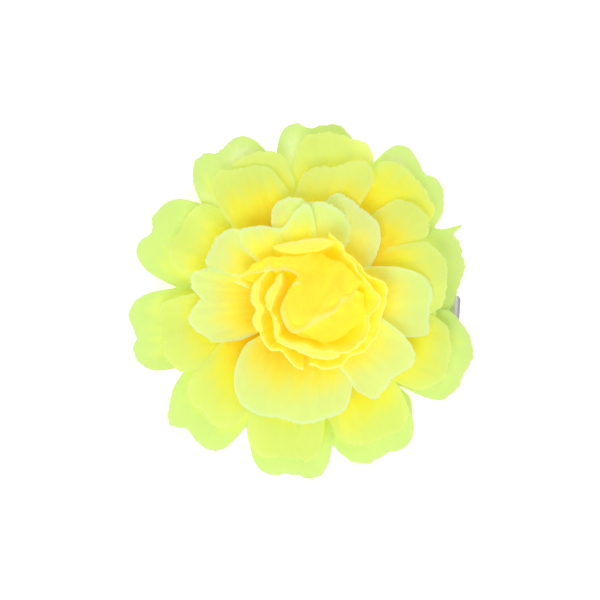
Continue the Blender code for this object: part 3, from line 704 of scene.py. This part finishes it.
def make_heart(heart):
    """The folded petals that close the heart: the big crumpled one, its lower partner, and those behind."""
    lay_upright("heart_petals_1", [
        ([(13.8, 5.7), (12.0, 8.0), (10.0, 10.0), (7.6, 11.9), (5.0, 12.9), (2.4, 13.8), (0.2, 14.5),
          (-2.6, 14.4), (-5.6, 14.1), (-8.6, 13.8), (-11.8, 13.8), (-15.4, 13.9), (-20.2, 11.2),
          (-25.0, 7.4)],
         [(12.2, 3.8), (9.4, 0.2), (7.0, -0.6), (4.8, -3.9), (-0.8, -6.4), (-7.9, -10.3), (-11.7, -3.4),
          (-8.7, 3.8), (-5.4, 5.7), (-6.8, 8.0), (-10.6, 9.5), (-15.5, 9.4), (-21.0, 8.0), (-24.8, 6.9)],
         (33.4, 34.0, 34.3, 34.0, 33.2), (34.2, 34.4, 32.6, 33.8, 33.0),
         {"fold": 1.2, "dip": -1.5, "roll": 2.4, "wrinkle": 1.3}),
        ([(2.2, -14.0), (6.5, -11.6), (10.6, -9.0), (14.2, -6.0), (14.6, -2.0), (14.4, 2.2)],
         [(-6.6, -8.8), (-1.8, -6.0), (2.6, -3.0), (5.6, -0.8), (8.4, 1.8), (10.6, 4.0)],
         28.2, 29.8, {"wrinkle": 0.5}),
        (on_ring((-95, 12.0), (-112, 12.4), (-130, 12.6), (-148, 12.4)),
         on_ring((-95, 8.0), (-112, 8.0), (-130, 8.5), (-148, 9.0)), 28.5, 28.6, {}),
        (on_ring((150, 9.6), (165, 9.8), (180, 9.8), (200, 9.6)),
         on_ring((150, 7.4), (165, 7.6), (180, 7.6), (200, 7.4)), 26.6, 26.9, {}),
        (on_ring((30, 12.0), (50, 12.0), (70, 12.0), (90, 12.0)),
         on_ring((30, 9.0), (50, 8.0), (70, 8.0), (90, 8.0)), 30.0, 30.2, {}),
    ], heart)
    lay_upright("heart_petals_2", [
        (on_ring(*((start + k, 7.6) for k in (-38, -20, 0, 20, 38))),
         on_ring(*((start + k, 3.6) for k in (-38, -20, 0, 20, 38))), 28.0, 28.8, {})
        for start in (20, 92, 164, 236, 308)
    ], heart)


# ---------------------------------------------------------------- spring, pads and steel

def tube(name, route, radius, sides=12):
    """A round wire. At each place of its route stands a circle in the plane across the way ahead, its
    first spoke as near to the Y axis as that plane lets it be. radius gives each circle's size, which is
    nothing at the ends.
    """
    ahead = np.gradient(route, axis=0)
    ahead /= np.linalg.norm(ahead, axis=1, keepdims=True)
    across = np.array([0.0, 1.0, 0.0]) - ahead * ahead[:, 1:2]
    across /= np.linalg.norm(across, axis=1, keepdims=True)
    up = np.cross(ahead, across)
    a = np.linspace(0, math.tau, sides + 1)[None, :, None]
    spokes = np.cos(a) * across[:, None] + np.sin(a) * up[:, None]
    return closed_surface(name, route[:, None] + radius[:, None, None] * spokes)


def closed_surface(name, points):
    """A mesh of a grid whose rows are rings and whose first and last rows have shrunk to points."""
    rows, columns = points.shape[:2]
    mesh = bpy.data.meshes.new(name)
    mesh.from_pydata(points.reshape(-1, 3) * MM, [], grid_faces(0, rows, columns))
    shell = bmesh.new()
    shell.from_mesh(mesh)
    bmesh.ops.remove_doubles(shell, verts=shell.verts, dist=1e-7)
    bmesh.ops.recalc_face_normals(shell, faces=shell.faces)
    shell.to_mesh(mesh)
    shell.free()
    mesh.shade_smooth()
    return mesh


def make_spring(wire):
    """The torsion spring: a leg under the upper lever, a coil about the rivet, a leg on the lower arm.

    The coil's angle and its place along Y both grow evenly from its first turn to its last, and both legs
    leave it along its tangents. The ends of the wire are rounded over one radius of its length.
    """
    slope = (LEVER_Z - BRIDGE_Z) / (LEVER_X - BRIDGE_X)
    upper_z = BRIDGE_Z + slope * (LEG_X - BRIDGE_X) - WIRE_REST * math.hypot(1, slope)
    reach = LEG_X - HINGE[0]
    tangent = COIL_R / reach
    upper_rise = math.atan2(upper_z - HINGE[2], reach) + tangent
    lower_rise = math.atan2(WIRE_Z - HINGE[2], reach) - tangent
    share = np.linspace(0, 1, 40 * COIL_TURNS)
    angle = upper_rise - math.pi / 2 + share * (
        lower_rise - upper_rise + math.pi - (COIL_TURNS + 1) * math.tau)
    coil = np.stack([HINGE[0] + COIL_R * np.cos(angle), COIL_HALF * (1 - 2 * share),
                     HINGE[2] + COIL_R * np.sin(angle)], axis=-1)
    cap = WIRE_R * (1 - np.cos(np.linspace(0, math.pi / 2, 6)))
    first, last = np.array([LEG_X, COIL_HALF, upper_z]), np.array([LEG_X, -COIL_HALF, WIRE_Z])
    run = np.concatenate([cap, np.linspace(WIRE_R, reach, 24)[1:-1]])
    legs = [end + np.outer(run / np.linalg.norm(start - end), start - end)
            for end, start in ((first, coil[0]), (last, coil[-1]))]
    size = np.full(len(run), WIRE_R)
    size[:len(cap)] = WIRE_R * np.sin(np.linspace(0, math.pi / 2, len(cap)))
    route = np.concatenate([legs[0], coil, legs[1][::-1]])
    mesh = tube("wound_spring", route, np.concatenate([size, np.full(len(coil), WIRE_R), size[::-1]]))
    piece = bpy.data.objects.new(mesh.name, mesh)
    bpy.context.scene.collection.objects.link(piece)
    mesh.materials.append(wire)
    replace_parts(piece, "torsion_spring")
    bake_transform(piece)


def flat_pad(node, half, middle_x, power, seed, ragged=0.012, dimple=0.05):
    """A flat closed pad in place of a node. Going round by angle a, its outline is the rounded oblong
    |x/half_x|^power + |y/half_y|^power = 1, drawn in and out by ripples; across it the section is the
    underside, half a circle at the rim, and the top, and both faces carry shallow dimples.
    """
    low, high = (corner[2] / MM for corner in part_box(node))
    thick = (high - low) * PAD_SHARE
    rim = thick / 2
    faces = np.linspace(0, 1, 9)
    bend = np.linspace(-math.pi / 2, math.pi / 2, 7)
    inset = np.concatenate([0 * faces - rim, rim * (np.cos(bend[1:-1]) - 1), 0 * faces - rim])
    share = np.concatenate([faces, 0 * bend[1:-1] + 1, faces[::-1]])
    rise = np.concatenate([0 * faces - rim, rim * np.sin(bend[1:-1]), 0 * faces + rim])
    a = np.linspace(0, math.tau, 145)[None]
    edge = (abs(np.cos(a) / half[0]) ** power + abs(np.sin(a) / half[1]) ** power) ** (-1 / power)
    edge = edge * (1 - ragged * (1 + ripple(3 * np.cos(a), 3 * np.sin(a), seed, 2.0, 0.3)))
    radius = (edge + inset[:, None]) * share[:, None]
    x, y = middle_x + radius * np.cos(a), radius * np.sin(a)
    z = (low + high) / 2 + rise[:, None] + dimple * ripple(x, y, seed + 1, 9.0, 2.0) * share[:, None]
    return closed_surface(node + "_pad", np.stack([x, y, z], axis=-1))


def make_mounting(wool, glue):
    """The felt disc and the two layers of hot-melt glue that hold the flower on the clip's seat."""
    felt_disc = add(flat_pad("felt_backing", (FELT_R, FELT_R), 0, 2, 71), wool, "flower_arm")
    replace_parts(felt_disc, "felt_backing")
    for node, half, middle_x, power, seed in (
        ("clip_glue", (11.4, 3.8), 3.0, 3.0, 81),
        ("flower_glue", (9.9, 9.9), 0.0, 2.0, 82),
    ):
        blob = flat_pad(node, half, middle_x, power, seed, ragged=0.03, dimple=0.02)
        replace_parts(add(blob, glue, "flower_arm"), node)


def refine(node, finish, body, edge, sharp=30):
    """A node's own shape with its triangles joined into flat faces and its sharp edges rounded."""
    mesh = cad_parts[node].data.copy()
    mesh.name = node + "_finished"
    mesh.transform(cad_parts[node].matrix_world)
    work = bmesh.new()
    work.from_mesh(mesh)
    bmesh.ops.remove_doubles(work, verts=work.verts, dist=1e-6)
    bmesh.ops.dissolve_limit(work, angle_limit=math.radians(0.5), verts=work.verts, edges=work.edges)
    work.to_mesh(mesh)
    work.free()
    mesh.materials.clear()
    mesh.shade_smooth()
    mesh.set_sharp_from_angle(angle=math.radians(sharp))
    piece = add(mesh, finish, body)
    rounding = piece.modifiers.new("eased_edges", "BEVEL")
    rounding.width = edge * MM
    rounding.segments = 2
    rounding.limit_method = "ANGLE"
    rounding.angle_limit = math.radians(sharp)
    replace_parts(piece, node)


def dress_frame():
    """Finishes for the clip, the glue and felt, and the moulded peg with its rings."""
    steel = plated_steel("plated_steel")
    make_spring(plated_steel("spring_wire", 0.5))
    make_mounting(felt("yellow_felt", (0.88, 0.88, 0.16)), set_glue("hot_melt_glue"))
    refine("clip_upper_arm", steel, "flower_arm", STEEL_EASE)
    refine("clip_lower_arm", steel, "lower_arm", STEEL_EASE)
    refine("hinge_rivet", steel, "flower_arm", RIVET_EASE)
    plastic = moulded_plastic("yellow_polythene", (0.93, 0.88, 0.25))
    refine("petal_peg", plastic, "flower_arm", MOULD_EASE)
    refine("peg_cap", plastic, "flower_arm", MOULD_EASE)
    for number in range(1, 5):
        refine(f"spacer_ring_{number}", plastic, "flower_arm", RING_EASE)


# ---------------------------------------------------------------- studio

def make_table():
    """A white table lit from below, which is the floor."""
    f = Finish("lit_white_table")
    table = f.node("ShaderNodeBsdfPrincipled", None, {
        "Base Color": (0.9, 0.9, 0.9, 1.0), "Roughness": 0.9, "Emission Color": (1.0, 1.0, 1.0, 1.0),
        "Emission Strength": TABLE_GLOW,
    })
    finish = f.output(table)
    mesh = bpy.data.meshes.new("table")
    corners = [(x * TABLE_HALF, y * TABLE_HALF, 0) for x, y in ((-1, -1), (1, -1), (1, 1), (-1, 1))]
    mesh.from_pydata(corners, [], [(0, 1, 2, 3)])
    mesh.materials.append(finish)
    floor = bpy.data.objects.new("table", mesh)
    bpy.context.scene.collection.objects.link(floor)


def make_lamps():
    """A pale surround and two broad lamps, each aimed at the table's middle."""
    world = bpy.data.worlds.new("studio")
    bpy.context.scene.world = world
    world.use_nodes = True
    world.node_tree.nodes["Background"].inputs["Color"].default_value = (1.0, 1.0, 1.0, 1.0)
    world.node_tree.nodes["Background"].inputs["Strength"].default_value = SKY
    for name, place, size, power in LAMPS:
        lamp = bpy.data.lights.new(name, "AREA")
        lamp.size = size
        lamp.energy = power
        held = bpy.data.objects.new(name, lamp)
        held.location = place
        aim = -np.array(place)
        held.rotation_euler = (math.atan2(math.hypot(aim[0], aim[1]), -aim[2]), 0,
                               math.atan2(aim[1], aim[0]) - math.pi / 2)
        bpy.context.scene.collection.objects.link(held)


def make_camera():
    """A camera straight over the flower, turned with it."""
    camera = bpy.data.objects.new("camera", bpy.data.cameras.new("camera"))
    camera.data.lens = LENS
    camera.data.sensor_width = SENSOR
    turn = math.radians(TURN)
    camera.location = (CAMERA_ASIDE * math.cos(turn), CAMERA_ASIDE * math.sin(turn), CAMERA_HEIGHT)
    camera.rotation_euler = (0, 0, turn)
    bpy.context.scene.collection.objects.link(camera)
    bpy.context.scene.camera = camera
    bpy.context.scene.view_settings.view_transform = "Standard"


make_table()
make_lamps()
make_camera()
dress_frame()
# Each ramp runs from root to tip, and its orange root end is painted shade for the deep places between
# layers. rim is the colour of a painted highlight along the cut edge, and the last argument is emission,
# painted light that lifts the shade.
outer = petal_cloth(
    "outer_petal_cloth", [(0.4, (1.0, 0.72, 0.01)), (0.66, (0.96, 0.94, 0.10)), (0.88, (0.60, 0.81, 0.26))],
    rim=(0.58, 0.76, 0.42), rim_highlight_share=0.3, rim_highlight_width=1.6,
    shine_through=(0.66, 0.82, 0.20), sheer=0.38, painted_glow=0.05)
middle = petal_cloth(
    "middle_petal_cloth", [(0.44, (1.0, 0.62, 0.0)), (0.70, (1.0, 0.93, 0.07)), (0.9, (0.77, 0.93, 0.26))],
    rim=(0.78, 0.96, 0.50), rim_highlight_share=0.3, rim_highlight_width=1.6,
    shine_through=(0.9, 0.88, 0.16), sheer=0.38, painted_glow=0.13)
ruffle = petal_cloth(
    "ruffle_petal_cloth", [(0.32, (1.0, 0.72, 0.0)), (0.58, (1.0, 1.0, 0.11)), (0.86, (0.76, 1.0, 0.38))],
    rim=(0.74, 1.0, 0.75), rim_highlight_share=0.7, rim_highlight_width=1.7,
    shine_through=(1.0, 0.96, 0.14), sheer=0.38, painted_glow=0.12)
cup = petal_cloth(
    "cup_petal_cloth", [(0.35, (1.0, 0.74, 0.0)), (0.62, (1.0, 0.86, 0.02)), (0.84, (1.0, 1.0, 0.16))],
    rim=(1.0, 1.0, 0.38), rim_highlight_share=0.8, rim_highlight_width=2.0,
    shine_through=(1.0, 0.88, 0.01), sheer=0.3, painted_glow=0.22)
heart = petal_cloth(
    "heart_petal_cloth", [(0.2, (1.0, 0.78, 0.0)), (0.5, (1.0, 0.86, 0.05)), (0.92, (1.0, 0.90, 0.08))],
    rim=(1.0, 1.0, 0.42), rim_highlight_share=0.8, rim_highlight_width=3.0,
    shine_through=(1.0, 0.9, 0.03), sheer=0.34, painted_glow=0.2)
make_skirt(outer, middle)
make_middle(middle)
make_ruffles(ruffle)
make_cup(cup)
make_heart(heart)
